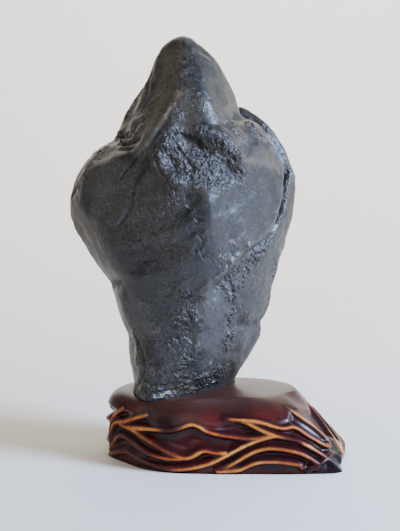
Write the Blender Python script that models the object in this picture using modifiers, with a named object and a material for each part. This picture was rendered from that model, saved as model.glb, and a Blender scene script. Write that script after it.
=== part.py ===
"""A black scholar's stone in the fitted seat of its carved hardwood stand.

It is two loose pieces. The stone is one water-worn block: a peak, a left shoulder, a crest behind
them, a slab behind the right edge and a body that tapers to a small foot. The stand is one block
of wood, with a smooth crowned top that is hollowed to the stone's own foot, and sides that are
carved into folds between raised ridges.

Points are written in millimetres and made metres by MM. The origin is on the underside of the
stand, 4 mm behind the middle of its top. -Y is the front and +Z is up.
"""

import math

import bmesh
import bpy
import numpy as np
from mathutils import Vector, kdtree, noise

MM = 0.001

# The stand
STAND_HEIGHT = 48.0
STAND_MIDDLE_Y = -4.0
TOP_CROWN = 1.0
TOE_HEIGHT = 7.0
TOE_TUCK = 1.5
RIDGE_HEIGHT = 3.4
RIDGE_HALF_WIDTH = 2.3
SCOOP_DEPTH = 2.4
SCOOP_REACH = 9.0

# The seat, and the stone's foot in it
SEAT_FLOOR = 38.0
SEAT_GAP = 0.8
FLOOR_GAP = 0.3
SEAT_CUTTER_TOP = 62.0

# Triangles that each finished solid may have
STONE_TRIANGLES = 5300
STAND_TRIANGLES = 3900


# --------------------------------------------------------------------------- shared helpers


def clear_scene():
    for obj in list(bpy.data.objects):
        bpy.data.objects.remove(obj)


def new_collection(name, hidden=False):
    collection = bpy.data.collections.new(name)
    collection.hide_render = hidden
    bpy.context.scene.collection.children.link(collection)
    return collection


def new_material(name, colour, roughness, metallic=0.0):
    material = bpy.data.materials.new(name)
    material.use_nodes = True
    shader = material.node_tree.nodes["Principled BSDF"]
    shader.inputs["Base Color"].default_value = (*colour, 1.0)
    shader.inputs["Roughness"].default_value = roughness
    shader.inputs["Metallic"].default_value = metallic
    return material


def add_object(name, mesh, collection):
    obj = bpy.data.objects.new(name, mesh)
    collection.objects.link(obj)
    return obj


def add_helper(name, mesh, collection):
    """An object that only shapes others. A render and the build leave it out."""
    obj = add_object(name, mesh, collection)
    obj.hide_render = True
    obj.display_type = "WIRE"
    return obj


def evaluated_mesh(obj):
    """A new mesh of the object with its modifiers applied."""
    bpy.context.view_layer.update()
    graph = bpy.context.evaluated_depsgraph_get()
    return bpy.data.meshes.new_from_object(obj.evaluated_get(graph))


def coordinates(mesh):
    found = np.empty(len(mesh.vertices) * 3, np.float32)
    mesh.vertices.foreach_get("co", found)
    return found.reshape(-1, 3).astype(float)


def vertex_normals(mesh):
    found = np.empty(len(mesh.vertices) * 3, np.float32)
    mesh.vertex_normals.foreach_get("vector", found)
    return found.reshape(-1, 3).astype(float)


def move_vertices(mesh, points):
    mesh.vertices.foreach_set("co", points.astype(np.float32).ravel())
    mesh.update()


def decimate_to(obj, triangles):
    """Collapses the flattest edges first, so that triangles stay where the surface turns."""
    obj.data.calc_loop_triangles()
    reduce = obj.modifiers.new("fewer_triangles", "DECIMATE")
    reduce.ratio = triangles / len(obj.data.loop_triangles)
    reduce.use_collapse_triangulate = True
    obj.data = evaluated_mesh(obj)
    obj.modifiers.clear()


def cut_flat(mesh, height, keep_above=True):
    """Cuts the mesh off level at a height, and closes the cut."""
    shape = bmesh.new()
    shape.from_mesh(mesh)
    cut = bmesh.ops.bisect_plane(
        shape,
        geom=shape.verts[:] + shape.edges[:] + shape.faces[:],
        plane_co=(0, 0, height * MM),
        plane_no=(0, 0, 1),
        clear_inner=keep_above,
        clear_outer=not keep_above,
    )
    rim = [item for item in cut["geom_cut"] if isinstance(item, bmesh.types.BMEdge)]
    bmesh.ops.triangle_fill(shape, edges=rim, use_beauty=True)
    bmesh.ops.triangulate(shape, faces=shape.faces[:])
    bmesh.ops.recalc_face_normals(shape, faces=shape.faces[:])
    shape.to_mesh(mesh)
    shape.free()


def smooth_path(points, step):
    """Points about a step apart on a smooth curve through these."""
    points = np.array(points, float)
    starts, ends = points[:-1], points[1:]
    before = np.vstack([2 * points[0] - points[1], points[:-2]])
    after = np.vstack([points[2:], 2 * points[-1] - points[-2]])
    found = []
    for a, b, c, d in zip(before, starts, ends, after):
        count = max(1, math.ceil(np.linalg.norm(c - b) / step))
        for t in np.arange(count)[:, None] / count:
            found.append(
                0.5 * (2 * b + (c - a) * t + (2 * a - 5 * b + 4 * c - d) * t**2
                       + (3 * b - a - 3 * c + d) * t**3)
            )
    return np.vstack([*found, points[-1:]])


def nearest_on(path, points):
    """The point of the path nearest to each of these points, and how far off it is."""
    tree = kdtree.KDTree(len(path))
    for i, place in enumerate(path):
        tree.insert(place, i)
    tree.balance()
    found = [tree.find(point) for point in points]
    return path[[index for _, index, _ in found]], np.array([far for _, _, far in found])


def fade(value, low, high):
    """0 below low, 1 above high and a smooth step between."""
    t = np.clip((value - low) / (high - low), 0, 1)
    return t * t * (3 - 2 * t)


# --------------------------------------------------------------------------- the stone

# The stone's outline where it enters the seat, from its left side round the front.
FOOT_OUTLINE = [
    (-67.5, -6), (-67.5, -18), (-65.5, -28), (-60, -36), (-53, -40), (-44, -38.5), (-36, -34),
    (-27, -26.5), (-17.5, -19), (-9.5, -11.5), (-2, -3), (4.5, 7), (7, 17), (5, 30), (-14, 37),
    (-38, 32), (-59, 17),
]
FOOT_TOP, FOOT_BOTTOM, FOOT_TAPER = 50.0, 33.0, 0.95

# Each lobe is the hull of its corner points, and wear is how many passes round its corners.
LOBES = {
    "peak": (11, [
        (-43, 2, 300), (-33, 4, 304), (-24, 2, 301), (-15, 2, 291), (-4, 5, 281), (6, 7, 264),
        (10, 9, 251), (14, 8, 225), (-30, -17, 286), (-34, -33, 262), (-15, -31, 264),
        (-45, -43, 240), (-60, -41, 224), (-62, -38, 205), (-5, -40, 237), (-52, 3, 290),
        (-52.5, 3, 281), (-56, -2, 261), (-66, -5, 246), (-73, -7, 232), (-72, -24, 216), (-30, 28, 283),
        (-8, 28, 255), (-50, 24, 250), (-60, 20, 200), (10, 25, 200), (-10, -42, 205),
    ]),
    "face": (18, [
        (9, 7, 246), (25, 2, 240), (36, -2, 222), (43, -4, 205), (43, -4, 187), (37, -11, 165),
        (25, -21, 153), (7, -34, 139), (-9, -43, 123), (-21, -47, 114), (-5, -42, 238),
        (-44, -45, 238), (8, -43, 217), (-54, -47, 214), (-36, -56, 194), (-16, -60, 185),
        (-18, -60, 160), (-66, -39, 190), (-60, -43, 150), (20, 22, 225), (22, 22, 160),
        (-60, 20, 190), (-30, 20, 130),
    ]),
    "wing": (16, [
        (-115, 3, 182), (-113, 4, 192), (-109, 5, 202), (-103, 5, 211), (-96, 5, 218), (-90, 5, 223.5),
        (-83, 4, 227.5), (-74, 0, 230), (-114, 2, 172), (-111, 1, 162), (-104, 0, 151), (-96, 0, 140),
        (-85, 0, 129), (-81, 0, 119), (-100, -20, 205), (-103, -22, 180), (-88, -34, 184),
        (-84, -31, 207), (-68, -40, 190), (-71, -32, 221), (-84, -34, 155), (-34, -56, 182),
        (-20, -58, 158), (-22, -49, 122), (-60, -42, 120), (-98, 27, 201), (-96, 29, 175),
        (-80, 33, 205), (-82, 31, 150), (-50, 26, 210), (-60, 26, 125),
    ]),
    "crest": (4, [
        (-52, 10, 277), (-55, 13, 270), (-60, 15, 265), (-66, 18, 259), (-71, 19, 251),
        (-75, 18, 242), (-79, 15, 233), (-82, 10, 226), (-44, 34, 272), (-62, 38, 246),
        (-76, 36, 224), (-30, 40, 262), (-12, 40, 240), (-60, 2, 250), (-71, -5, 234),
        (-46, 8, 280), (-50, 24, 195), (-20, 44, 215), (-76, 6, 205), (-78, 30, 200),
    ]),
    "slab": (12, [
        (11, 24, 255), (22, 23, 250), (31, 22, 240), (39, 21, 230), (46, 20, 217), (53, 18, 201),
        (52, 18, 185), (47, 18, 168), (43, 17, 154), (38, 15, 136), (36, 14, 121), (33, 13, 106),
        (27, 12, 94), (42, 3, 195), (39, -2, 170), (29, -12, 155), (9, -26, 136), (-12, -41, 112),
        (-12, -33, 96), (27, -2, 108), (10, 45, 238), (36, 41, 200), (36, 39, 150), (20, 36, 105),
        (-30, 48, 208), (-42, 46, 150), (-40, 38, 110), (-8, 34, 250),
    ]),
    "back": (22, [
        (-62, 38, 222), (-20, 47, 232), (-50, 44, 118), (-8, 45, 112), (-86, 32, 165),
        (-80, 36, 195), (6, 50, 190), (-58, 46, 185), (-30, 52, 170), (-40, 0, 200), (-20, 0, 120),
    ]),
    "neck": (12, [
        (-85, 0, 123), (-81, 0, 110), (-77, -1, 98), (-72, -3, 85), (-66, -43, 142),
        (-57, -42, 112), (-76, -26, 116), (-67, -26, 90), (-48, -41, 90), (-20, -48, 122),
        (-18, -36, 92), (-1, -26, 94), (6, -26, 118), (-72, 28, 135), (-66, 24, 92),
        (-50, 42, 120), (0, 38, 92), (18, 34, 140), (24, 14, 96),
    ]),
    "body": (12, [
        (-72, -3, 90), (-69, -4, 78), (-67, -4, 60), (-64, -27, 90), (-50, -41, 96),
        (-42, -36, 62), (-18, -38, 96), (0, -26, 96), (27, 12, 94), (27, 12, 84), (18, 18, 68),
        (10, 21, 56), (-66, 22, 95), (-64, 20, 62), (-48, 40, 98), (-34, 38, 58), (0, 38, 56),
        (12, 38, 88), *[(x, y, FOOT_TOP) for x, y in FOOT_OUTLINE],
    ]),
    "heel": (3, [
        (-70, 8, 86), (-71, 12, 78), (-70, 12, 66), (-67, 10, 55), (-60, 0, 90), (-58, 0, 55),
        (-66, 24, 86), (-64, 24, 58), (-50, 20, 95),
    ]),
    "foot": (3, [
        *[(x, y, FOOT_TOP + 4) for x, y in FOOT_OUTLINE],
        *[(x * FOOT_TAPER - 1.5, y * FOOT_TAPER, FOOT_BOTTOM) for x, y in FOOT_OUTLINE],
    ]),
}
LOBE_VOXEL, STONE_VOXEL = 2.4, 1.7
STONE_WEAR = 8

# A broad shallow hollow in the front of the peak: its middle, half width, half height and depth.
HOLLOW = {"middle": (-18, -47, 217), "half_width": 33, "half_height": 21, "tilt": -14, "depth": 5.5,
          "ragged": 0.22, "ragged_size": 13.0}

# Long marks on the stone: width, how far it stands out (or in, below 0), and its route.
MARKS = {
    "long_crack": (2.2, -2.2, [(-57, -37, 225), (-62, -34, 219), (-68, -31, 210), (-78, -28, 197)]),
    "shoulder_valley": (4.0, -2.4, [(-59, -36, 208), (-66, -34, 196), (-69, -33, 180), (-77, -31, 168)]),
    "cheek_ridge": (4.0, 1.8, [(-36, -30, 258), (-47, -36, 240), (-59, -39, 223)]),
    "slab_crack": (3.0, -3.6, [(38, 0, 206), (40, -1, 192), (37, -5, 176), (31, -13, 163), (19, -23, 152)]),
    "heel_crease": (2.5, -4.0, [(-72, -5, 92), (-64, -12, 76), (-61, -15, 64), (-66, -10, 54)]),
    "under_lip": (4.5, -2.2, [(19, -23, 152), (6, -31, 141), (-9, -39, 125), (-22, -44, 114)]),
}

# Low lumps all over: how wide and how high.
LUMPS = [(34.0, 1.5), (13.0, 0.7)]


def lobe_mesh(name, wear, corners, helpers):
    """The hull of a lobe's corner points on an even grid, with its corners worn round."""
    shape = bmesh.new()
    for corner in corners:
        shape.verts.new([value * MM for value in corner])
    made = bmesh.ops.convex_hull(shape, input=shape.verts[:])
    loose = [v for v in made["geom_interior"] if isinstance(v, bmesh.types.BMVert)]
    bmesh.ops.delete(shape, geom=loose, context="VERTS")
    mesh = bpy.data.meshes.new(name)
    shape.to_mesh(mesh)
    shape.free()
    lobe = add_helper(f"lobe_{name}", mesh, helpers)
    grid = lobe.modifiers.new("even_grid", "REMESH")
    grid.mode = "VOXEL"
    grid.voxel_size = LOBE_VOXEL * MM
    worn = lobe.modifiers.new("worn_corners", "SMOOTH")
    worn.iterations = wear
    return evaluated_mesh(lobe)


def fused(lobes, helpers):
    """One closed skin round all the lobes."""
    shape = bmesh.new()
    for lobe in lobes:
        shape.from_mesh(lobe)
    mesh = bpy.data.meshes.new("stone")
    shape.to_mesh(mesh)
    shape.free()
    block = add_helper("rough_block", mesh, helpers)
    grid = block.modifiers.new("one_skin", "REMESH")
    grid.mode = "VOXEL"
    grid.voxel_size = STONE_VOXEL * MM
    worn = block.modifiers.new("worn_joins", "SMOOTH")
    worn.iterations = STONE_WEAR
    return evaluated_mesh(block)


def hollow_depth(points):
    """How deep the hollow is at each point: steep at its rim and flat on its floor."""
    turn = math.radians(HOLLOW["tilt"])
    across = np.array([math.cos(turn), 0, math.sin(turn)])
    along = np.array([-math.sin(turn), 0, math.cos(turn)])
    offset = points - np.array(HOLLOW["middle"], float)
    reach = np.hypot(offset @ across / HOLLOW["half_width"], offset @ along / HOLLOW["half_height"])
    reach += [HOLLOW["ragged"] * noise.noise(Vector(point) / HOLLOW["ragged_size"]) for point in points]
    front = fade(-points[:, 1], 4, 20)
    return HOLLOW["depth"] * front * (1 - fade(reach, 0.5, 1.0))


def sculpt(mesh):
    """Presses the hollow and the long marks into the skin, and swells it in low lumps."""
    points, normals = coordinates(mesh) / MM, vertex_normals(mesh)
    shift = -hollow_depth(points)
    for width, height, route in MARKS.values():
        _, far = nearest_on(smooth_path(route, 0.5), points)
        shift += height * np.exp(-((far / width) ** 2))
    for i, point in enumerate(points):
        shift[i] += sum(high * noise.noise(Vector(point) / wide) for wide, high in LUMPS)
    above_seat = fade(points[:, 2], FOOT_BOTTOM, FOOT_TOP + 8)
    move_vertices(mesh, (points + normals * (shift * above_seat)[:, None]) * MM)


def make_stone(parts, helpers, material):
    lobes = [lobe_mesh(name, wear, corners, helpers) for name, (wear, corners) in LOBES.items()]
    mesh = fused(lobes, helpers)
    sculpt(mesh)
    stone = add_object("stone", mesh, parts)
    decimate_to(stone, STONE_TRIANGLES)
    cut_flat(stone.data, SEAT_FLOOR + FLOOR_GAP)
    stone.data.materials.clear()
    stone.data.materials.append(material)
    stone.data.shade_smooth()
    return stone


# --------------------------------------------------------------------------- the stand

# Stations round the stand, in degrees from its right side and below 0 across its front: how far
# out its foot and its brow are, how full the shoulder between them is, and how far it flares at
# the ground.
STATIONS = [
    (-175, 87.5, 66, 4.0, 0), (-160, 80, 59, 3.5, 0), (-144, 75.5, 51, 2.6, 0),
    (-130, 70, 42, 2.1, 0), (-108, 61, 29, 1.8, 0), (-90, 59.5, 26, 1.75, 0),
    (-75, 61, 27, 1.75, 0), (-58, 70, 32, 1.7, 0), (-45, 82, 38, 1.5, 0), (-34, 88, 42, 1.35, 8),
    (-22, 87, 44, 1.2, 1), (-8, 86.5, 49, 1.05, 0), (10, 86.5, 49, 1.05, 0),
    (28, 81, 46, 1.25, 0), (48, 72, 41, 1.7, 0), (72, 61, 35, 2.2, 0), (105, 59, 35, 2.5, 0),
    (134, 69.5, 47, 3.0, 0), (154, 80.5, 58, 3.4, 0), (170, 87, 65, 3.9, 0),
]
FLARE_HEIGHT = 15.0
# Where each carved ridge runs: degrees round the stand, and height.
RIDGES = [
    [(-162, 39), (-169, 29), (-172, 15)],
    [(-144, 38), (-150, 35), (-159, 30), (-167, 26), (-172, 12)],
    [(-162, 27), (-151, 26), (-144, 23), (-129, 15), (-117, 11), (-107, 16), (-99, 15), (-92, 15)],
    [(-155, 27), (-141, 29), (-128, 29), (-118, 33), (-112, 32), (-103, 28), (-83, 25), (-59, 26)],
    [(-175, 0), (-166, 5), (-155, 8), (-133, 3), (-119, 3), (-104, 7), (-92, 13), (-80, 19), (-67, 24),
     (-59, 26)],
    [(-171, 6), (-163, 18), (-151, 17), (-140, 12), (-127, 10), (-117, 11)],
    [(-93, 37), (-84, 36), (-67, 35), (-54, 31), (-46, 31), (-40, 24), (-33, 17), (-29, 16)],
    [(-40, 42), (-37, 37), (-31, 28), (-27, 19), (-29, 16)],
    [(-84, 36), (-75, 34), (-65, 29), (-58, 26)],
    [(-58, 26), (-49, 23), (-42, 17), (-37, 10), (-33, 0)],
    [(-95, 3), (-83, 10), (-72, 16), (-62, 18), (-52, 16), (-46, 12), (-42, 6), (-43, 3)],
    [(-97, 2), (-83, 3), (-72, 8), (-61, 9), (-51, 7), (-49, 4)],
    [(2, 41), (-4, 34), (-10, 24), (-14, 16), (-16, 9)],
    [(-16, 9), (-6, 11), (8, 17), (22, 20), (36, 16), (50, 12), (64, 12), (80, 18), (96, 22),
     (112, 20), (126, 15), (140, 11), (154, 12), (168, 18), (178, 25), (188, 29)],
    [(12, 38), (24, 34), (42, 29), (58, 28), (74, 31), (90, 36), (104, 36), (120, 31), (136, 27),
     (150, 28), (162, 33), (172, 39)],
    [(22, 20), (38, 23), (54, 21), (66, 23), (78, 28), (90, 29), (102, 26), (112, 20)],
    [(-20, 2), (-8, 4), (6, 9), (20, 11), (34, 8), (48, 4), (62, 4), (76, 9), (90, 13), (104, 13),
     (118, 9), (132, 4), (146, 3), (160, 7), (174, 11), (188, 12)],
    [(120, 31), (130, 23), (142, 19), (154, 20), (164, 25), (172, 32)],
    [(60, 1), (74, 2), (88, 5), (102, 5), (114, 2)],
]
# How high the carving reaches round the stand, in degrees. Above it the wood is smooth.
CARVED_TOP = [
    (-180, 37), (-160, 37), (-144, 36), (-136, 32), (-127, 31), (-118, 34), (-107, 32), (-97, 31),
    (-91, 36), (-70, 36), (-55, 33), (-47, 35), (-40, 41), (-30, 38), (-15, 34), (0, 40),
    (12, 40), (24, 37), (42, 32), (58, 31), (74, 34), (90, 39), (104, 39), (120, 34), (136, 30),
    (150, 31), (162, 36), (172, 40), (180, 37),
]
# How far down the wall its toe starts, and how finely the blank is divided.
TOE_FALL = 0.88
ROUND_STEPS = 400
TOP_RINGS, WALL_RINGS, UNDER_RINGS = 14, 58, 4
BELOW_GROUND = 2.0


def round_the_stand(column, degrees):
    """One column of STATIONS as a smooth closed curve, read at these angles."""
    table = np.array(STATIONS, float)
    at = np.concatenate([table[:, 0] - 360, table[:, 0], table[:, 0] + 360])
    value = np.tile(table[:, column], 3)
    slope = np.gradient(value, at)
    degrees = (np.asarray(degrees, float) + 180) % 360 - 180
    i = np.searchsorted(at, degrees) - 1
    gap = at[i + 1] - at[i]
    t = (degrees - at[i]) / gap
    return (
        (2 * t**3 - 3 * t**2 + 1) * value[i] + (t**3 - 2 * t**2 + t) * gap * slope[i]
        + (3 * t**2 - 2 * t**3) * value[i + 1] + (t**3 - t**2) * gap * slope[i + 1]
    )


def wall_points(degrees, fall):
    """Points of the plain wall, where fall runs from 0 at the brow to 1 at the ground."""
    foot, brow, fullness, flare = (round_the_stand(column, degrees) for column in (1, 2, 3, 4))
    bend = np.clip(fall / TOE_FALL, 0, 1) * math.pi / 2
    below_toe = np.clip((fall - TOE_FALL) / (1 - TOE_FALL), 0, 1)
    reach = brow + (foot - brow) * np.sin(bend) ** (2 / fullness) - TOE_TUCK * below_toe**2
    drop = np.clip(np.cos(bend), 0, 1) ** (2 / fullness)
    height = TOE_HEIGHT * (1 - below_toe) + (STAND_HEIGHT - TOE_HEIGHT) * drop
    reach = reach + flare * np.clip(1 - height / FLARE_HEIGHT, 0, 1) ** 1.5
    turn = np.radians(degrees)
    return np.stack(
        [reach * np.cos(turn), STAND_MIDDLE_Y + reach * np.sin(turn), height], axis=-1
    )


def fall_at(degrees, height):
    """The fall at which the wall is this high."""
    fullness = round_the_stand(3, degrees)
    share = np.clip((height - TOE_HEIGHT) / (STAND_HEIGHT - TOE_HEIGHT), 0, 1)
    curved = np.arccos(share ** (fullness / 2)) / (math.pi / 2) * TOE_FALL
    straight = 1 - (1 - TOE_FALL) * height / TOE_HEIGHT
    return np.where(height > TOE_HEIGHT, curved, straight)


def ridge_path(route):
    angle_and_height = smooth_path(route, 0.5)
    degrees = angle_and_height[:, 0]
    height = np.clip(angle_and_height[:, 1], 0, STAND_HEIGHT)
    return wall_points(degrees, fall_at(degrees, height))


def carving_depth(points):
    """How far the wall is cut back: nothing on a ridge, steeply below it and gently above it."""
    depth = np.full(len(points), RIDGE_HEIGHT + SCOOP_DEPTH)
    for route in RIDGES:
        nearest, far = nearest_on(ridge_path(route), points)
        above = fade((points - nearest)[:, 2] / (far + 0.5), -0.6, 0.8)
        away = far - RIDGE_HALF_WIDTH * 0.5
        run = RIDGE_HALF_WIDTH * (1.2 + 1.8 * above)
        cut = RIDGE_HEIGHT * fade(away / run, 0, 1) + SCOOP_DEPTH * fade(away / SCOOP_REACH, 0, 1)
        depth = np.minimum(depth, cut)
    shallow_toe = 0.45 + 0.55 * fade(points[:, 2], 0, TOE_HEIGHT + 3)
    degrees = np.degrees(np.arctan2(points[:, 1] - STAND_MIDDLE_Y, points[:, 0]))
    over_top = points[:, 2] - np.interp(degrees, *np.transpose(CARVED_TOP))
    return depth * shallow_toe * (1 - fade(over_top, -4, 2))


def stand_blank():
    """A ball drawn out to the stand's form: its top half gives the top and the wall."""
    shape = bmesh.new()
    rings = TOP_RINGS + WALL_RINGS
    bmesh.ops.create_uvsphere(
        shape, u_segments=ROUND_STEPS, v_segments=2 * (rings + UNDER_RINGS), radius=1.0
    )
    mesh = bpy.data.meshes.new("stand")
    shape.to_mesh(mesh)
    shape.free()
    ball = coordinates(mesh)
    degrees = np.degrees(np.arctan2(ball[:, 1], ball[:, 0]))
    ring = np.arccos(np.clip(ball[:, 2], -1, 1)) / math.pi * 2 * (rings + UNDER_RINGS)
    on_top = np.clip(ring / TOP_RINGS, 0, 1)
    points = wall_points(degrees, np.clip((ring - TOP_RINGS) / WALL_RINGS, 0, 1))
    middle = np.array([0, STAND_MIDDLE_Y, STAND_HEIGHT])
    points = np.where(on_top[:, None] < 1, middle + (points - middle) * on_top[:, None], points)
    points[:, 2] += TOP_CROWN * (1 - on_top**2)
    below = ring > rings
    points[below, 2] = -BELOW_GROUND
    under = np.clip((2 * (rings + UNDER_RINGS) - ring[below]) / (rings + 2 * UNDER_RINGS), 0, 1)
    points[below, :2] = middle[:2] + (points[below, :2] - middle[:2]) * under[:, None]
    move_vertices(mesh, points * MM)
    return mesh


def carve(mesh):
    points, normals = coordinates(mesh) / MM, vertex_normals(mesh)
    depth = carving_depth(points)
    level = normals * np.array([1, 1, 0.35])
    move_vertices(mesh, (points - level * depth[:, None]) * MM)


def seat_cutter(stone, helpers):
    """The stone's foot, swollen by the gap that the seat leaves round it."""
    cutter = add_helper("seat_cutter", stone.data.copy(), helpers)
    cut_flat(cutter.data, SEAT_CUTTER_TOP, keep_above=False)
    points, normals = coordinates(cutter.data) / MM, vertex_normals(cutter.data)
    wider = points + normals * np.array([1, 1, 0]) * SEAT_GAP
    wider[points[:, 2] < SEAT_FLOOR + 1, 2] = SEAT_FLOOR
    move_vertices(cutter.data, wider * MM)
    return cutter


def make_stand(parts, helpers, stone, material):
    mesh = stand_blank()
    carve(mesh)
    stand = add_object("stand", mesh, parts)
    decimate_to(stand, STAND_TRIANGLES)
    cut_flat(stand.data, 0)
    seat = stand.modifiers.new("seat", "BOOLEAN")
    seat.operation = "DIFFERENCE"
    seat.solver = "EXACT"
    seat.object = seat_cutter(stone, helpers)
    stand.data.materials.clear()
    stand.data.materials.append(material)
    stand.data.shade_smooth()
    return stand


def main():
    clear_scene()
    parts = new_collection("scholars_rock")
    helpers = new_collection("shaping_helpers", hidden=True)
    black_stone = new_material("black_stone", (0.03, 0.031, 0.034), 0.42)
    mahogany = new_material("lacquered_mahogany", (0.11, 0.027, 0.014), 0.3)
    stone = make_stone(parts, helpers, black_stone)
    make_stand(parts, helpers, stone, mahogany)


main()
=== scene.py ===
import math

import bmesh
import bpy
import numpy as np
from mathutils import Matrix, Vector, noise
from mathutils.bvhtree import BVHTree


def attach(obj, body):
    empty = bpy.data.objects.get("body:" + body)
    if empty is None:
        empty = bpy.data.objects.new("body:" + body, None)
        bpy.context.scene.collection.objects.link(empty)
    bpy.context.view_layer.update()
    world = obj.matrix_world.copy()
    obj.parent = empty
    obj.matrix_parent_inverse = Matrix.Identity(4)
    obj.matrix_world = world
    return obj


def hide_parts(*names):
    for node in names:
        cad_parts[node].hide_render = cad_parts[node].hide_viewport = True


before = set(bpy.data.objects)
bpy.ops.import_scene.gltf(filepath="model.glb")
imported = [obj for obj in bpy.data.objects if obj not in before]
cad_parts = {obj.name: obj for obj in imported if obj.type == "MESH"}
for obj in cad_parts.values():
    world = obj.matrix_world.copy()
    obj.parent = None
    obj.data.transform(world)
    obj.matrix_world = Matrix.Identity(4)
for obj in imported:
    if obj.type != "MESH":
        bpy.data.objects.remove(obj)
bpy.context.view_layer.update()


# ---------------------------------------------------------------------------------- the stand
# One block of hardwood with a crowned top. Its sides are carved with gouges into folds between
# raised ridges, lacquered a dark red-brown, and rubbed through to golden wood along the ridges.
# Sizes are in millimetres from the middle of the underside, unless a comment says metres.

MM = 0.001
STAND_HEIGHT = 48.0
STAND_MIDDLE_Y = -4.0
TOP_CROWN = 1.0
TOE_HEIGHT = 7.0
TOE_TUCK = 1.5
TOE_FALL = 0.88
RIDGE_FLAT = 0.8
RIDGE_RUN = 1.6
RIDGE_HEIGHT = 3.3
SCOOP_DEPTH = 2.2
SCOOP_REACH = 8.0
# Degrees from the right side, how far out the foot and the brow are, how full the wall is, and how
# far it flares at the ground.
STATIONS = [
    (-175, 87.5, 66, 4.0, 0), (-160, 80, 59, 3.5, 0), (-144, 75.5, 51, 2.6, 0),
    (-130, 70, 42, 2.1, 0), (-108, 61, 29, 1.8, 0), (-90, 59.5, 26, 1.75, 0),
    (-75, 61, 27, 1.75, 0), (-58, 70, 32, 1.7, 0), (-45, 82, 38, 1.5, 0), (-34, 88, 42, 1.35, 8),
    (-22, 87, 44, 1.2, 1), (-8, 86.5, 49, 1.05, 0), (10, 86.5, 49, 1.05, 0),
    (28, 81, 46, 1.25, 0), (48, 72, 41, 1.7, 0), (72, 61, 35, 2.2, 0), (105, 59, 35, 2.5, 0),
    (134, 69.5, 47, 3.0, 0), (154, 80.5, 58, 3.4, 0), (170, 87, 65, 3.9, 0),
]
FLARE_HEIGHT = 15.0
# Each ridge as degrees, height, and how far the lacquer is rubbed through there. Above 1 the
# ridge is broader too, and ends in a knob.
RIDGES = [
    [(-162, 39, 0.7), (-169, 29, 0.6), (-172, 15, 0.3)],
    [(-144, 38, 0.9), (-150, 35, 1), (-159, 30, 0.95), (-167, 26, 0.8), (-172, 12, 0.35)],
    [(-162, 27, 0.7), (-151, 26, 0.9), (-144, 23, 0.6), (-129, 15, 0.45), (-117, 11, 1),
     (-107, 16, 1), (-99, 15, 0.8), (-92, 15, 1)],
    [(-155, 27, 0.9), (-141, 29, 1), (-128, 29, 0.15), (-118, 33, 0.9), (-112, 32, 1),
     (-103, 28, 0.9), (-83, 25, 0.55), (-72, 24.5, 0.5), (-59, 26, 1)],
    [(-175, 0, 0.5), (-166, 5, 0.45), (-155, 8, 0.25), (-133, 3, 0.1), (-119, 3, 0.9), (-104, 7, 1),
     (-92, 13, 1), (-80, 19, 0.9), (-67, 24, 1), (-59, 26, 1)],
    [(-171, 6, 0.55), (-163, 18, 0.5), (-151, 17, 0.3), (-140, 12, 0.6), (-127, 10, 0.7),
     (-117, 11, 0.9)],
    [(-92, 37, 0.2), (-84, 36, 0.8), (-67, 35, 1), (-54, 31, 1), (-46, 31, 0.9), (-40, 24, 0.8),
     (-33, 17, 0.7), (-29, 16, 0.6)],
    [(-40, 42, 0.3), (-37, 37, 1), (-31, 28, 0.9), (-27, 19, 0.7), (-29, 16, 0.6)],
    [(-84, 36, 0.1), (-75, 34, 0.7), (-65, 29, 1), (-58, 26, 1)],
    [(-58, 26, 0.9), (-49, 23, 0.1), (-45, 20, 0.95), (-42, 17, 1), (-37, 10, 0.25), (-33, 0, 0.1)],
    [(-95, 3, 0.4), (-83, 10, 0.7), (-72, 16, 0.8), (-62, 18, 0.8), (-52, 16, 0.8), (-46, 12, 0.7),
     (-42, 6, 0.35), (-43, 3, 0.2)],
    [(-97, 2, 0.9), (-83, 3, 0.9), (-72, 8, 0.9), (-61, 9, 0.8), (-51, 7, 0.7), (-49, 4, 0.4)],
    [(2, 41, 0.35), (-4, 34, 0.45), (-10, 24, 0.55), (-14, 17, 0.9), (-16, 13, 2.2), (-17, 8, 2.8)],
    [(-16, 10, 2), (-11, 11, 0.9), (-5, 12, 0.6), (8, 17, 0.6), (22, 20, 0.9), (36, 16, 0.8),
     (50, 12, 0.5), (64, 12, 0.8), (80, 18, 1), (96, 22, 0.7), (112, 20, 0.9), (126, 15, 0.6),
     (140, 11, 0.8), (154, 12, 0.9), (168, 18, 0.6), (178, 25, 0.8), (188, 29, 0.6)],
    [(12, 38, 0.2), (24, 34, 0.8), (42, 29, 0.9), (58, 28, 0.5), (74, 31, 0.9), (90, 36, 0.7),
     (104, 36, 0.4), (120, 31, 0.9), (136, 27, 0.8), (150, 28, 0.5), (162, 33, 0.9),
     (172, 39, 0.3)],
    [(22, 20, 0.9), (38, 23, 0.6), (54, 21, 0.8), (66, 23, 0.9), (78, 28, 0.5), (90, 29, 0.8),
     (102, 26, 0.9), (112, 20, 0.9)],
    [(-20, 2, 0.4), (-8, 4, 0.7), (6, 9, 0.9), (20, 11, 0.5), (34, 8, 0.8), (48, 4, 0.9),
     (62, 4, 0.4), (76, 9, 0.7), (90, 13, 0.9), (104, 13, 0.5), (118, 9, 0.8), (132, 4, 0.9),
     (146, 3, 0.5), (160, 7, 0.8), (174, 11, 0.6), (188, 12, 0.4)],
    [(-46, 2, 0.1), (-39, 9, 0.3), (-31, 12, 0.4), (-26, 8, 0.3), (-24, 2, 0.1)],
    [(10, 31, 0.2), (3, 26, 0.4), (-3, 20, 0.45), (-7, 13, 0.5)],
    [(120, 31, 0.9), (130, 23, 0.8), (142, 19, 0.6), (154, 20, 0.9), (164, 25, 0.8),
     (172, 32, 0.6)],
    [(60, 1, 0.5), (74, 2, 0.8), (88, 5, 0.6), (102, 5, 0.9), (114, 2, 0.4)],
]
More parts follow.
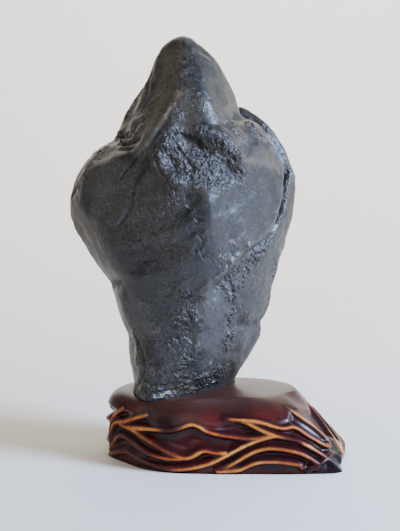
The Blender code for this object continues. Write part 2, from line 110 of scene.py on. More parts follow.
# How high the carving reaches, round the stand in degrees.
CARVED_TOP = [
    (-180, 37), (-160, 37), (-144, 36), (-136, 32), (-127, 31), (-118, 34), (-107, 32), (-100, 31),
    (-88, 35), (-70, 36), (-55, 33), (-47, 35), (-40, 41), (-30, 38), (-15, 34), (0, 40),
    (12, 40), (24, 37), (42, 32), (58, 31), (74, 34), (90, 39), (104, 39), (120, 34), (136, 30),
    (150, 31), (162, 36), (172, 40), (180, 37),
]
# The mesh: steps round it, rings over the top, down the wall and underneath, and how many times
# the ball that it starts as is divided.
ROUND_STEPS, TOP_RINGS, WALL_RINGS, UNDER_RINGS = 620, 20, 96, 6
DIVISIONS = 2
STAND_TRIANGLES = 192000
RIDGE_STEP = 0.4
PATTERN_APART = 300
SEAT_FLOOR = 38.0
SEAT_GAP = 0.8
SEAT_CUTTER_TOP = 62.0


def fade(value, low, high):
    """0 below low, 1 above high and a smooth step between."""
    t = np.clip((value - low) / (high - low), 0, 1)
    return t * t * (3 - 2 * t)


def smooth_path(points, step):
    """Points about a step apart on a smooth curve through these."""
    points = np.array(points, float)
    before = np.vstack([2 * points[0] - points[1], points[:-2]])
    after = np.vstack([points[2:], 2 * points[-1] - points[-2]])
    found = []
    for a, b, c, d in zip(before, points[:-1], points[1:], after):
        count = max(1, math.ceil(np.linalg.norm((c - b)[:3]) / step))
        for t in np.arange(count)[:, None] / count:
            found.append(
                0.5 * (2 * b + (c - a) * t + (2 * a - 5 * b + 4 * c - d) * t**2
                       + (3 * b - a - 3 * c + d) * t**3)
            )
    return np.vstack([*found, points[-1:]])


def nearest_on(path, points):
    """For each point, the index of the nearest point of the path and how far off it is."""
    index, far = np.empty(len(points), int), np.empty(len(points))
    for few in np.array_split(np.arange(len(points)), len(points) // 5000 + 1):
        apart = (path**2).sum(axis=1) - 2 * points[few] @ path.T
        index[few] = apart.argmin(axis=1)
        far[few] = np.linalg.norm(points[few] - path[index[few]], axis=1)
    return index, far


def close_to(path, points, limit):
    """Which points may lie within the limit of the path, and nearest_on for those."""
    close = np.flatnonzero(
        np.all((points > path.min(axis=0) - limit) & (points < path.max(axis=0) + limit), axis=1)
    )
    return (close, *nearest_on(path, points[close]))


def coordinates(mesh):
    """The place of each vertex, in millimetres."""
    found = np.empty(len(mesh.vertices) * 3, np.float32)
    mesh.vertices.foreach_get("co", found)
    return found.reshape(-1, 3).astype(float) / MM


def vertex_normals(mesh):
    found = np.empty(len(mesh.vertices) * 3, np.float32)
    mesh.vertex_normals.foreach_get("vector", found)
    return found.reshape(-1, 3).astype(float)


def move_vertices(mesh, points):
    mesh.vertices.foreach_set("co", (points * MM).astype(np.float32).ravel())
    mesh.update()


def paint(mesh, name, values):
    """Keeps one number for each vertex, for the material to read."""
    layer = mesh.attributes.new(name, "FLOAT", "POINT")
    layer.data.foreach_set("value", np.asarray(values, np.float32))


def select_only(obj):
    """Selects this object and no other, and makes it active."""
    bpy.ops.object.select_all(action="DESELECT")
    obj.select_set(True)
    bpy.context.view_layer.objects.active = obj


def apply_modifier(obj, kind, **settings):
    select_only(obj)
    modifier = obj.modifiers.new(kind.lower(), kind)
    for name, value in settings.items():
        setattr(modifier, name, value)
    bpy.ops.object.modifier_apply(modifier=modifier.name)


def thin_to(obj, triangles):
    """Joins the least needed faces until this many triangles are left."""
    obj.data.calc_loop_triangles()
    apply_modifier(obj, "DECIMATE", ratio=triangles / len(obj.data.loop_triangles))


def copy_of_node(node, name):
    """A copy of a CAD node with its loose triangles joined."""
    obj = bpy.data.objects.new(name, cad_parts[node].data.copy())
    bpy.context.scene.collection.objects.link(obj)
    obj.data.materials.clear()
    select_only(obj)
    bpy.ops.object.mode_set(mode="EDIT")
    bpy.ops.mesh.select_all(action="SELECT")
    bpy.ops.mesh.remove_doubles(threshold=0.00001)
    bpy.ops.mesh.normals_make_consistent(inside=False)
    bpy.ops.object.mode_set(mode="OBJECT")
    return obj


def round_the_stand(column, degrees):
    """One column of STATIONS as a smooth closed curve, read at these angles."""
    table = np.array(STATIONS, float)
    at = np.concatenate([table[:, 0] - 360, table[:, 0], table[:, 0] + 360])
    value = np.tile(table[:, column], 3)
    slope = np.gradient(value, at)
    degrees = (np.asarray(degrees, float) + 180) % 360 - 180
    i = np.searchsorted(at, degrees) - 1
    gap = at[i + 1] - at[i]
    t = (degrees - at[i]) / gap
    return (
        (2 * t**3 - 3 * t**2 + 1) * value[i] + (t**3 - 2 * t**2 + t) * gap * slope[i]
        + (3 * t**2 - 2 * t**3) * value[i + 1] + (t**3 - t**2) * gap * slope[i + 1]
    )


def wall_points(degrees, fall):
    """Points of the plain wall, where fall runs from 0 at the brow to 1 at the ground."""
    foot, brow, fullness, flare = (round_the_stand(column, degrees) for column in (1, 2, 3, 4))
    bend = np.clip(fall / TOE_FALL, 0, 1) * math.pi / 2
    below_toe = np.clip((fall - TOE_FALL) / (1 - TOE_FALL), 0, 1)
    reach = brow + (foot - brow) * np.sin(bend) ** (2 / fullness) - TOE_TUCK * below_toe**2
    drop = np.clip(np.cos(bend), 0, 1) ** (2 / fullness)
    height = TOE_HEIGHT * (1 - below_toe) + (STAND_HEIGHT - TOE_HEIGHT) * drop
    reach = reach + flare * np.clip(1 - height / FLARE_HEIGHT, 0, 1) ** 1.5
    turn = np.radians(degrees)
    return np.stack(
        [reach * np.cos(turn), STAND_MIDDLE_Y + reach * np.sin(turn), height], axis=-1
    )


def fall_at(degrees, height):
    """The fall that wall_points needs to reach this height."""
    fullness = round_the_stand(3, degrees)
    share = np.clip((height - TOE_HEIGHT) / (STAND_HEIGHT - TOE_HEIGHT), 0, 1)
    curved = np.arccos(share ** (fullness / 2)) / (math.pi / 2) * TOE_FALL
    straight = 1 - (1 - TOE_FALL) * height / TOE_HEIGHT
    return np.where(height > TOE_HEIGHT, curved, straight)


# A ball is drawn out to the stand's form: its top half gives the top and the wall.
rings = TOP_RINGS + WALL_RINGS
bpy.ops.object.select_all(action="DESELECT")
bpy.ops.mesh.primitive_uv_sphere_add(
    segments=ROUND_STEPS // 2**DIVISIONS, ring_count=2 * (rings + UNDER_RINGS) // 2**DIVISIONS
)
stand = bpy.context.object
stand.name = "carved_stand"
# Blender numbers a new ball's faces in another order each run, so they are put in one order.
corners = [vertex.co[:] for vertex in stand.data.vertices]
faces = sorted(face.vertices[:] for face in stand.data.polygons)
stand.data.clear_geometry()
stand.data.from_pydata(corners, [], faces)
apply_modifier(
    stand, "SUBSURF", subdivision_type="SIMPLE", levels=DIVISIONS, render_levels=DIVISIONS
)
ball = coordinates(stand.data)
ball /= np.linalg.norm(ball, axis=1)[:, None]
degrees = np.degrees(np.arctan2(ball[:, 1], ball[:, 0]))
ring = np.arccos(np.clip(ball[:, 2], -1, 1)) / math.pi * 2 * (rings + UNDER_RINGS)
on_top = np.clip(ring / TOP_RINGS, 0, 1)
points = wall_points(degrees, np.clip((ring - TOP_RINGS) / WALL_RINGS, 0, 1))
middle = np.array([0, STAND_MIDDLE_Y, STAND_HEIGHT])
points = np.where(on_top[:, None] < 1, middle + (points - middle) * on_top[:, None], points)
points[:, 2] += TOP_CROWN * (1 - on_top**2)
below = ring > rings
points[below, 2] = 0
under = np.clip((2 * (rings + UNDER_RINGS) - ring[below]) / (rings + 2 * UNDER_RINGS), 0, 1)
points[below, :2] = middle[:2] + (points[below, :2] - middle[:2]) * under[:, None]
move_vertices(stand.data, points)

# The gouge cuts: nothing on a ridge, steep below it and gentler above it.
depth = np.full(len(points), RIDGE_HEIGHT + SCOOP_DEPTH)
ridge_far = np.full(len(points), 99.0)
rubbed = np.zeros(len(points))
ridge_run = np.zeros(len(points))
for number, route in enumerate(RIDGES):
    along = smooth_path(route, RIDGE_STEP)
    height = np.clip(along[:, 1], 0, STAND_HEIGHT)
    path = wall_points(along[:, 0], fall_at(along[:, 0], height))
    close, index, far = close_to(path, points, SCOOP_REACH + 2)
    above = fade((points[close] - path[index])[:, 2] / (far + 0.4), -0.6, 0.8)
    rub = np.clip(along[index, 2], 0, 1)
    far = far / (1 + 2 * np.clip(along[index, 2] - 1, 0, 1))
    away = far - RIDGE_FLAT * (0.6 + 0.7 * rub)
    cut = RIDGE_HEIGHT * fade(away / (RIDGE_RUN * (1 + 1.8 * above)), 0, 1)
    depth[close] = np.minimum(depth[close], cut + SCOOP_DEPTH * fade(away / SCOOP_REACH, 0, 1))
    closer = far < ridge_far[close]
    rubbed[close[closer]] = rub[closer]
    ridge_run[close[closer]] = RIDGE_STEP * index[closer] + PATTERN_APART * number
    ridge_far[close[closer]] = far[closer]
over_top = points[:, 2] - np.interp(degrees, *np.transpose(CARVED_TOP))
uncut = 1 - fade(over_top, -4, 2)
depth *= (0.45 + 0.55 * fade(points[:, 2], 0, TOE_HEIGHT + 3)) * uncut
wavering = np.array([noise.noise(Vector(p) / 9) for p in points])
depth += 0.25 * wavering * fade(points[:, 2], 0, 3)
depth += 0.4 * np.clip(ridge_far / 1.6, 0, 1) ** 2 * uncut
normals = vertex_normals(stand.data)
points = points - normals * np.array([1, 1, 0.35]) * (depth * (points[:, 2] > 0))[:, None]
points[:, 2] = np.maximum(points[:, 2], 0)
move_vertices(stand.data, points)
apply_modifier(stand, "SMOOTH", factor=0.4, iterations=2)
paint(stand.data, "ridge_far", ridge_far)
paint(stand.data, "rubbed", rubbed)
paint(stand.data, "ridge_run", ridge_run)
paint(stand.data, "cut_depth", depth)

# The seat is cut with the stone's own foot, a little swollen.
cutter = copy_of_node("stone", "seat_cutter")
bpy.ops.object.mode_set(mode="EDIT")
bpy.ops.mesh.select_all(action="SELECT")
bpy.ops.mesh.bisect(
    plane_co=(0, 0, SEAT_CUTTER_TOP * MM), plane_no=(0, 0, 1), clear_outer=True, use_fill=True
)
bpy.ops.object.mode_set(mode="OBJECT")
foot = coordinates(cutter.data)
swollen = foot + vertex_normals(cutter.data) * np.array([1, 1, 0]) * SEAT_GAP
swollen[foot[:, 2] < SEAT_FLOOR + 1, 2] = SEAT_FLOOR
move_vertices(cutter.data, swollen)
apply_modifier(stand, "BOOLEAN", operation="DIFFERENCE", solver="EXACT", object=cutter)
bpy.data.objects.remove(cutter)
thin_to(stand, STAND_TRIANGLES)
bpy.ops.object.shade_smooth_by_angle(angle=math.radians(50))


class Wire:
    """One socket of a material, so that shader maths reads as an expression."""

    def __init__(self, tree, socket):
        self.tree = tree
        self.socket = socket

    def node(self, kind, settings=None, inputs=None, output=0):
        """Adds a node: its settings first, then the values or wires of its sockets."""
        made = self.tree.nodes.new(kind)
        for name, value in (settings or {}).items():
            if name == "stops":
                ramp = made.color_ramp
                while len(ramp.elements) < len(value):
                    ramp.elements.new(0.5)
                for stop, (place, colour) in zip(ramp.elements, value):
                    stop.position = place
                    stop.color = (*colour, 1)
            else:
                setattr(made, name, value)
        for name, value in (inputs or {}).items():
            if isinstance(value, Wire):
                self.tree.links.new(value.socket, made.inputs[name])
            else:
                made.inputs[name].default_value = value
        return Wire(self.tree, made.outputs[output])

    def maths(self, operation, *values):
        return self.node("ShaderNodeMath", {"operation": operation}, dict(enumerate(values)))

    def __add__(self, other):
        return self.maths("ADD", self, other)

    def __sub__(self, other):
        return self.maths("SUBTRACT", self, other)

    def __mul__(self, other):
        return self.maths("MULTIPLY", self, other)

    def __truediv__(self, other):
        return self.maths("DIVIDE", self, other)

    def __radd__(self, other):
        return self.maths("ADD", other, self)

    def __rsub__(self, other):
        return self.maths("SUBTRACT", other, self)

    def __rmul__(self, other):
        return self.maths("MULTIPLY", other, self)

    def between(self, low, high):
        """0 at low, 1 at high and a smooth step between."""
        return self.node(
            "ShaderNodeMapRange",
            {"interpolation_type": "SMOOTHSTEP"},
            {"Value": self, "From Min": low, "From Max": high},
        )

    def colours(self, *stops):
        return self.node("ShaderNodeValToRGB", {"stops": stops}, {"Fac": self})

    def blend(self, low, high):
        """The colour low where this is 0 and high where it is 1."""
        return self.node(
            "ShaderNodeMix",
            {"data_type": "RGBA", "clamp_factor": True},
            {0: self, 6: low, 7: high},
            output=2,
        )

    def part(self, axis):
        """One number of this vector: 0 across, 1 inwards and 2 up."""
        return self.node("ShaderNodeSeparateXYZ", inputs={"Vector": self}, output=axis)

    def moved(self, size, turn=(0, 0, 0)):
        """This vector scaled, then turned."""
        return self.node(
            "ShaderNodeMapping", inputs={"Vector": self, "Rotation": turn, "Scale": size}
        )

    def noise(self, scale, detail=4.0, roughness=0.5, distortion=0.0):
        return self.node(
            "ShaderNodeTexNoise",
            inputs={"Vector": self, "Scale": scale, "Detail": detail, "Roughness": roughness,
                    "Distortion": distortion},
        )

    def cells(self, scale):
        return self.node("ShaderNodeTexVoronoi", inputs={"Vector": self, "Scale": scale})

    def bump(self, distance, strength=1.0, onto=None):
        inputs = {"Height": self, "Distance": distance, "Strength": strength}
        if onto:
            inputs["Normal"] = onto
        return self.node("ShaderNodeBump", inputs=inputs)


def new_material(name, **uniform):
    """A Principled material with these uniform values, its shader and its object coordinates."""
    material = bpy.data.materials.new(name)
    material.use_nodes = True
    tree = material.node_tree
    shader = tree.nodes["Principled BSDF"]
    for socket, value in uniform.items():
        shader.inputs[socket.replace("_", " ")].default_value = value
    place = Wire(tree, tree.nodes.new("ShaderNodeTexCoord").outputs["Object"])
    return material, shader, place


def painted(place, name):
    """What paint kept under this name."""
    return place.node("ShaderNodeAttribute", {"attribute_name": name}, output=2)


def feed(place, shader, **wires):
    """Joins these wires to the shader's sockets."""
    for socket, wire in wires.items():
        place.tree.links.new(wire.socket, shader.inputs[socket.replace("_", " ")])


LACQUER_DARK = (0.016, 0.004, 0.005, 1)
LACQUER_RED = (0.085, 0.011, 0.010, 1)
LACQUER_TOP = (0.042, 0.016, 0.010, 1)
# The next three colours are painted shade: in the scoops, beside the ridges and at the right end.
PAINTED_SCOOP_SHADE = (0.010, 0.003, 0.005, 1)
PAINTED_RIDGE_SHADOW = (0.006, 0.002, 0.003, 1)
PAINTED_RIGHT_END_SHADE = (0.006, 0.004, 0.005, 1)
# The wood where it shows, from barely rubbed to quite bare, and its golden patches.
RUBBED_WOOD = [
    (0.1, (0.06, 0.009, 0.005)), (0.36, (0.20, 0.030, 0.008)), (0.6, (0.38, 0.095, 0.018)),
    (1.0, (0.60, 0.27, 0.065)),
]
GOLDEN_WOOD = (0.36, 0.17, 0.025, 1)
# In metres: where the wall gives way to the top, and where the painted shade at the right end
# begins.
TOP_BEGINS = (0.036, 0.046)
RIGHT_END_SHADE_BEGINS = (0.052, 0.078)

lacquered, shader, place = new_material(
    "lacquered_rubbed_hardwood", Specular_IOR_Level=0.15, Coat_Roughness=0.2, Coat_IOR=1.4
)
# Dark lacquer over red, with painted shade deeper in the scoops, a painted shadow in a band beside
# each ridge, and painted shade at the right end.
grain = place.moved((14, 90, 90)).noise(9, 6, 0.6, 0.4)
pores = place.moved((60, 900, 900)).noise(1.2, 3, 0.6)
mottle = place.noise(38, 4, 0.6)
scooped = (painted(place, "cut_depth") / (RIDGE_HEIGHT + SCOOP_DEPTH)).between(0.1, 0.9)
flat_top = place.part(2).between(*TOP_BEGINS)
# The right end, which takes painted shade, less coat and a lower roughness.
right_end_shade = place.part(0).between(*RIGHT_END_SHADE_BEGINS) * (1 - flat_top)
tone = mottle.between(0.35, 0.7).blend(LACQUER_RED, LACQUER_DARK)
tone = (flat_top * 0.85).blend(tone, LACQUER_TOP)
tone = (grain.between(0.45, 0.75) * (0.25 + 0.35 * flat_top)).blend(tone, LACQUER_DARK)
# Painted shade, darker the deeper the scoop is cut.
tone = (scooped * 0.5).blend(tone, PAINTED_SCOOP_SHADE)
far = painted(place, "ridge_far")
# A painted shadow in a band beside each ridge.
painted_ridge_shadow = far.between(1.2, 2.2) * (1 - far.between(3.0, 5.0))
tone = (painted_ridge_shadow * 0.6).blend(tone, PAINTED_RIDGE_SHADOW)
# Painted shade at the stand's right end.
tone = (right_end_shade * 0.85).blend(tone, PAINTED_RIGHT_END_SHADE)
# The ridges are rubbed through with ragged edges and small cuts across.
run = painted(place, "ridge_run")
beside = place.node("ShaderNodeCombineXYZ", inputs={"X": run * 1.6, "Y": far * 0.35})
cross_cuts = beside.noise(1, 2, 0.6)
ragged = (place.noise(260, 3, 0.6) - 0.5) * 1.2 + (place.noise(80, 2, 0.5) - 0.5) * 1.0
edge = 1 - (far + ragged + (cross_cuts - 0.5) * 0.5).between(0.5, 1.8)
through = painted(place, "rubbed") + (place.noise(95, 3, 0.6) - 0.5) * 0.8
rub = edge * through.between(0.2, 0.75)
golden = through * 0.9 - far * 0.3 + (cross_cuts - 0.5) * 0.6 + (pores - 0.5) * 0.3
golden = golden + (place.noise(55, 3, 0.6) - 0.5) * 1.1
bare = golden.colours(*RUBBED_WOOD)
bare = (place.noise(30, 2, 0.5).between(0.45, 0.65) * 0.4).blend(bare, GOLDEN_WOOD)
shade = 0.27 + 0.14 * mottle + 0.16 * rub - 0.08 * right_end_shade
relief = (grain * 0.5 + pores * 0.3).bump(0.0002, 0.35)
relief = (cross_cuts * edge).bump(0.0002, 0.4, onto=relief)
feed(
    place, shader,
    Base_Color=rub.blend(tone, bare),
    Roughness=shade,
    Coat_Weight=(0.3 - 0.22 * rub) * (1 - 0.7 * right_end_shade - 0.5 * flat_top),
    Normal=relief,
)
stand.data.materials.clear()
stand.data.materials.append(lacquered)
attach(stand, "root")
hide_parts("stand")


# ---------------------------------------------------------------------------------- the stone
# One block of dark, hard limestone, worn by water and then waxed. Its broad faces are satin
# smooth, and between them run rough bands and a scooped hollow where softer stone has pitted.
# Its foot stands loose in the stand's seat.

SKIN_VOXEL = 1.3
SKIN_SMOOTHING, WORN_SMOOTHING, MEAN_SMOOTHING = 17, 160, 25
SKIN_TRIANGLES = 196000
FOOT_TOP = 50.0
# The swells of the whole skin: how long, and how high.
SWELLS = [(26, 0.7), (11, 0.5), (5, 0.32)]
# In the rough places: chips, smaller chips, and pits. Elsewhere: lone dimples, and a fine grain.
CHIP_SIZE, CHIP_HEIGHT, SMALL_CHIP_SIZE = 2.4, 1.3, 1.2
PIT_SPACING, PIT_DEPTH = 2.2, 0.9
DIMPLE_SPACING, DIMPLE_DEPTH = 9.0, 0.55
GRAIN_SIZE, GRAIN_HEIGHT = 2.2, 0.07
# How each side of the stone is looked at: what its first number runs along, and the way in.
SIDES = {
    "front": ((1, 0, 0), (0, 1, 0)), "back": ((1, 0, 0), (0, -1, 0)),
    "left": ((0, 1, 0), (1, 0, 0)), "right": ((0, 1, 0), (-1, 0, 0)),
}
# Long marks: the side, how wide, how far it stands out (in, below 0), and its route across and up.
MARKS = [
    # the arris down the peak, the groove at its right, dents at the top, and the crack below
    ("front", 6.0, 1.5, [(-31, 284), (-33, 270), (-37, 256)]),
    ("front", 8.0, -1.5, [(-12, 274), (-11, 262), (-10, 252)]),
    ("front", 2.4, 0.9, [(-27, 291), (-20, 288), (-13, 283), (-8, 278)]),
    ("front", 4.0, -1.1, [(-19, 292), (-16, 289), (-14, 286)]),
    ("front", 4.5, -2.4, [(-53, 278), (-56, 272)]),
    ("front", 1.1, 1.2, [(-40, 252), (-43, 247), (-46, 242), (-50, 236), (-53, 232), (-58, 224)]),
    ("front", 1.4, -0.8, [(-40, 246), (-43, 241), (-47, 235), (-50, 231), (-55, 223)]),
    ("front", 1.1, -1.8, [(-57, 224), (-60, 220), (-64, 215), (-67, 211), (-70, 208), (-75, 201)]),
    ("front", 1.1, -0.8, [(-79, 213), (-74, 209)]),
    # the thin edge between the peak and the crest
    ("front", 1.4, 1.3,
     [(-48, 287), (-51, 276), (-53, 268), (-54, 261), (-57, 255), (-60, 249), (-64, 245)]),
    ("front", 1.8, -1.4, [(-54, 275), (-56, 267), (-57, 260), (-60, 254), (-63, 248), (-67, 244)]),
    # broken ledges at the foot of the crest
    ("front", 1.2, 1.4, [(-57, 245), (-61, 244), (-65, 241), (-67, 237), (-67, 232)]),
    ("front", 1.4, -1.5, [(-57, 242), (-61, 241), (-64, 238), (-65, 233)]),
    ("front", 1.2, 1.3, [(-80, 233), (-76, 232), (-72, 232), (-69, 234)]),
    ("front", 1.4, -1.5, [(-78, 230), (-74, 230), (-70, 230), (-66, 232)]),
    ("front", 1.1, 1.2, [(-79, 228), (-74, 227), (-69, 228), (-64, 230)]),
    ("front", 1.3, -1.5, [(-74, 225), (-69, 225), (-64, 227), (-60, 230)]),
    ("front", 1.0, 1.0, [(-76, 223), (-70, 224), (-63, 225)]),
    ("front", 1.2, -1.0, [(-76, 221), (-70, 222), (-63, 223)]),
    # the shoulder's valley and the light ridge beside it
    ("front", 1.6, -1.3, [(-57, 209), (-62, 202), (-65, 195), (-67, 185), (-72, 175), (-76, 169)]),
    ("front", 1.6, 1.0, [(-60, 212), (-65, 203), (-68, 192), (-70, 183), (-76, 173)]),
    # the shoulder is full where it meets the peak
    ("front", 7.0, 2.6, [(-72, 214), (-69, 208)]),
    ("front", 5.0, 1.6, [(-62, 222), (-66, 218)]),
    # the hollow's rim, its deeper parts and the grooves in it
    ("front", 4.5, 1.8, [(-25, 240), (-18, 237), (-10, 232), (2, 223), (12, 213)]),
    ("front", 2.6, -2.6, [(-42, 235), (-33, 233), (-22, 228), (-12, 221), (-3, 214), (5, 206)]),
    ("front", 11.0, -2.0, [(-26, 221), (-10, 213)]),
    ("front", 2.4, 1.1, [(-50, 238), (-53, 228), (-53, 218), (-51, 209)]),
    ("front", 6.0, -2.4, [(-41, 230), (-42, 222), (-40, 212)]),
    ("front", 1.3, -1.3, [(-50, 216), (-47, 209), (-43, 204), (-40, 199)]),
    ("front", 1.0, -1.5, [(-38, 231), (-32, 221), (-27, 214), (-23, 209)]),
    ("front", 1.0, -1.2, [(-21, 229), (-16, 219), (-13, 212)]),
    ("front", 0.9, -0.9, [(-42, 222), (-38, 215), (-35, 208)]),
    ("front", 5.0, -1.2, [(-2, 204), (6, 206)]),
    # below the hollow: a worn patch, the dark valley at its right, and the full cheek
    ("front", 6.0, 1.9, [(-50, 200), (-47, 193), (-43, 185)]),
    ("front", 7.5, -3.4, [(-29, 196), (-25, 184), (-21, 171), (-18, 158), (-16, 148)]),
    ("front", 10.0, 2.2, [(8, 166), (9, 157), (6, 148)]),
    ("front", 9.0, -2.2, [(-12, 183), (0, 185), (10, 190)]),
    ("front", 6.0, 1.8, [(4, 149), (-3, 142), (-12, 134)]),
    # the lip along the face's right edge, and the gap behind it
    ("front", 2.4, 1.2,
     [(14, 243), (21, 235), (28, 226), (33, 220), (37, 212), (39, 204), (38, 194), (37, 184),
      (34, 174)]),
    ("front", 2.4, -0.7, [(17, 243), (23, 238), (31, 229), (37, 219), (41, 211), (43, 205)]),
    ("front", 2.6, -4.4,
     [(43, 206), (43, 200), (42, 192), (41, 184), (39, 177), (35, 168), (32, 162)]),
    # the lip under the face, the band below it, and the ridge and the groove that run down
    ("front", 2.0, 0.5, [(32, 170), (23, 163), (15, 157)]),
    ("front", 1.8, 2.0, [(15, 157), (6, 150), (0, 143), (-8, 136), (-15, 130), (-20, 126)]),
    ("front", 3.0, -2.4,
     [(34, 162), (27, 158), (18, 152), (9, 145), (3, 138), (-4, 131), (-11, 126)]),
    ("front", 3.5, 1.4, [(-19, 124), (-17, 122)]),
    ("front", 4.0, 0.9, [(-21, 118), (-23, 108), (-20, 92), (-21, 78)]),
    ("front", 2.6, -1.8, [(-1, 133), (4, 124), (5, 115), (3, 107), (1, 99), (4, 91), (3, 83)]),
    # the crease behind the lower left edge, and the line above the foot
    ("front", 1.4, -1.6, [(-66, 92), (-62, 84), (-59, 77), (-58, 70), (-60, 62), (-63, 56)]),
    ("front", 1.3, 0.8, [(-60, 62), (-54, 57), (-46, 55), (-34, 57), (-24, 60), (-14, 62)]),
    # the back and the sides: long seams, steps and worn hollows
    ("back", 2.0, -2.0, [(-58, 268), (-40, 246), (-20, 232), (2, 224), (20, 222)]),
    ("back", 2.4, 1.0, [(-60, 262), (-42, 241), (-22, 227), (0, 219), (18, 217)]),
    ("back", 1.6, -1.6, [(30, 190), (14, 172), (2, 150), (-4, 128), (-16, 104), (-20, 84)]),
    ("back", 9.0, -2.2, [(-62, 196), (-50, 180), (-44, 160)]),
    ("back", 7.0, -1.8, [(10, 140), (4, 118), (-6, 100)]),
    ("back", 5.0, 1.4, [(-30, 196), (-24, 170), (-30, 140), (-26, 112)]),
    ("back", 1.4, -1.3, [(-88, 205), (-78, 188), (-74, 170), (-64, 150)]),
    ("left", 2.0, -1.5, [(-16, 205), (-4, 190), (6, 172), (12, 150), (14, 128)]),
    ("left", 5.0, -1.2, [(20, 246), (16, 230), (22, 214)]),
    ("right", 1.8, -1.6, [(30, 225), (24, 205), (28, 182), (22, 158), (28, 132), (20, 108)]),
    ("right", 6.0, -1.6, [(8, 150), (14, 132), (10, 114)]),
]
# Rough places: the side, how far they reach, how rough they are, and a route along them.
ROUGH_PLACES = [
    ("front", 26, 0.42, [(-76, 196), (-66, 178), (-54, 158)]),
    ("front", 20, 0.4, [(-50, 190), (-42, 176), (-38, 160)]),
    ("front", 24, 0.32, [(-44, 150), (-38, 134), (-34, 122)]),
    ("front", 18, 0.34, [(-50, 112), (-50, 92), (-50, 70)]),
    ("front", 17, 0.3, [(22, 142), (17, 112), (8, 88)]),
    ("front", 13, 1.0, [(-38, 224), (-30, 216)]),
    ("front", 8, 0.8, [(-46, 230), (-47, 220), (-44, 210)]),
    ("front", 14, 1.0, [(-24, 222), (-12, 214)]),
    ("front", 10, 1.0, [(-6, 213), (6, 209)]),
    ("front", 9, 0.9, [(-12, 203), (-2, 201), (6, 203)]),
    ("front", 8, 0.9, [(-18, 233), (-6, 228), (6, 219)]),
    ("front", 8, 0.9, [(-42, 231), (-24, 234)]),
    ("front", 9, 0.8, [(-38, 205), (-22, 203), (-4, 199)]),
    ("front", 6, 0.35, [(-30, 270), (-27, 262), (-21, 258), (-16, 252)]),
    ("front", 6, 0.35, [(-24, 254), (-14, 248), (-7, 243)]),
    ("front", 4, 0.45, [(-36, 252), (-33, 246)]),
    ("front", 7, 0.8, [(-2, 244), (5, 238), (11, 231)]),
    ("front", 5, 0.8, [(14, 240), (18, 235), (22, 230)]),
    ("front", 9, 0.36, [(-30, 196), (-25, 182), (-20, 168), (-16, 152)]),
    ("front", 8, 0.6, [(-46, 197), (-41, 192), (-36, 186)]),
    ("front", 10, 0.35, [(-10, 146), (2, 152)]),
    ("front", 9, 0.9, [(33, 158), (24, 151), (14, 144), (5, 137), (-4, 130)]),
    ("front", 9, 0.8, [(20, 144), (12, 134), (8, 126)]),
    ("front", 8, 1.0, [(2, 124), (5, 115), (3, 103), (3, 90), (2, 82)]),
    ("front", 10, 0.8, [(-42, 128), (-32, 122), (-24, 118)]),
    ("front", 17, 0.75, [(-29, 114), (-31, 98), (-31, 82), (-33, 66)]),
    ("front", 8, 0.9, [(-44, 72), (-34, 68), (-26, 64)]),
    ("front", 5, 0.9, [(-66, 92), (-63, 80), (-63, 66), (-65, 56)]),
    ("front", 10, 0.85, [(-54, 53), (-42, 54), (-30, 55), (-18, 57), (-4, 60)]),
    ("front", 7, 0.9, [(-78, 232), (-70, 229), (-64, 234), (-60, 240)]),
    ("front", 8, 0.9, [(-70, 246), (-64, 256), (-58, 266), (-54, 274)]),
    ("front", 8, 0.5, [(-58, 246), (-48, 258), (-42, 272), (-40, 284)]),
    ("front", 5, 0.8, [(-86, 222), (-93, 216), (-99, 208), (-105, 198)]),
    ("front", 6, 0.45, [(20, 246), (30, 236), (38, 224), (44, 212)]),
    ("front", 5, 0.9, [(44, 208), (43, 196), (42, 184), (38, 172)]),
    ("front", 7, 0.6, [(-72, 212), (-66, 202), (-68, 192)]),
    ("back", 16, 0.9, [(-50, 262), (-36, 246), (-16, 238)]),
    ("back", 12, 0.8, [(-66, 190), (-54, 172), (-48, 152)]),
    ("back", 12, 0.9, [(12, 146), (4, 122), (-8, 98)]),
    ("back", 10, 0.8, [(-40, 60), (-20, 58), (-4, 62)]),
    ("back", 9, 0.7, [(24, 200), (14, 178), (4, 160)]),
    ("left", 9, 0.8, [(4, 230), (10, 212), (18, 200)]),
    ("left", 10, 0.7, [(12, 150), (16, 126), (14, 100), (10, 70)]),
    ("right", 10, 0.8, [(24, 200), (26, 172), (22, 148)]),
    ("right", 9, 0.8, [(4, 140), (8, 116), (12, 92)]),
]
# Mineral stains, as rough places are written: pale crust, and brown stains with painted sheen.
PALE_PLACES = [
    ("front", 4, 1.0, [(-50, 51), (-43, 52), (-38, 53)]),
    ("front", 3.5, 0.8, [(-28, 54), (-22, 54)]),
    ("front", 3, 0.7, [(-14, 55), (-8, 56)]),
    ("front", 3, 0.8, [(-23, 64), (-17, 68), (-9, 73)]),
    ("front", 2.5, 0.6, [(-39, 73), (-31, 76)]),
    ("front", 1.3, 0.7, [(-60, 62), (-54, 57), (-46, 55), (-34, 57), (-24, 60)]),
    ("back", 4, 0.8, [(-46, 54), (-30, 56), (-12, 54)]),
    ("back", 3, 0.7, [(-6, 100), (2, 118)]),
    ("left", 3, 0.8, [(-2, 84), (6, 70), (4, 58)]),
    ("right", 3, 0.7, [(20, 60), (10, 66)]),
]
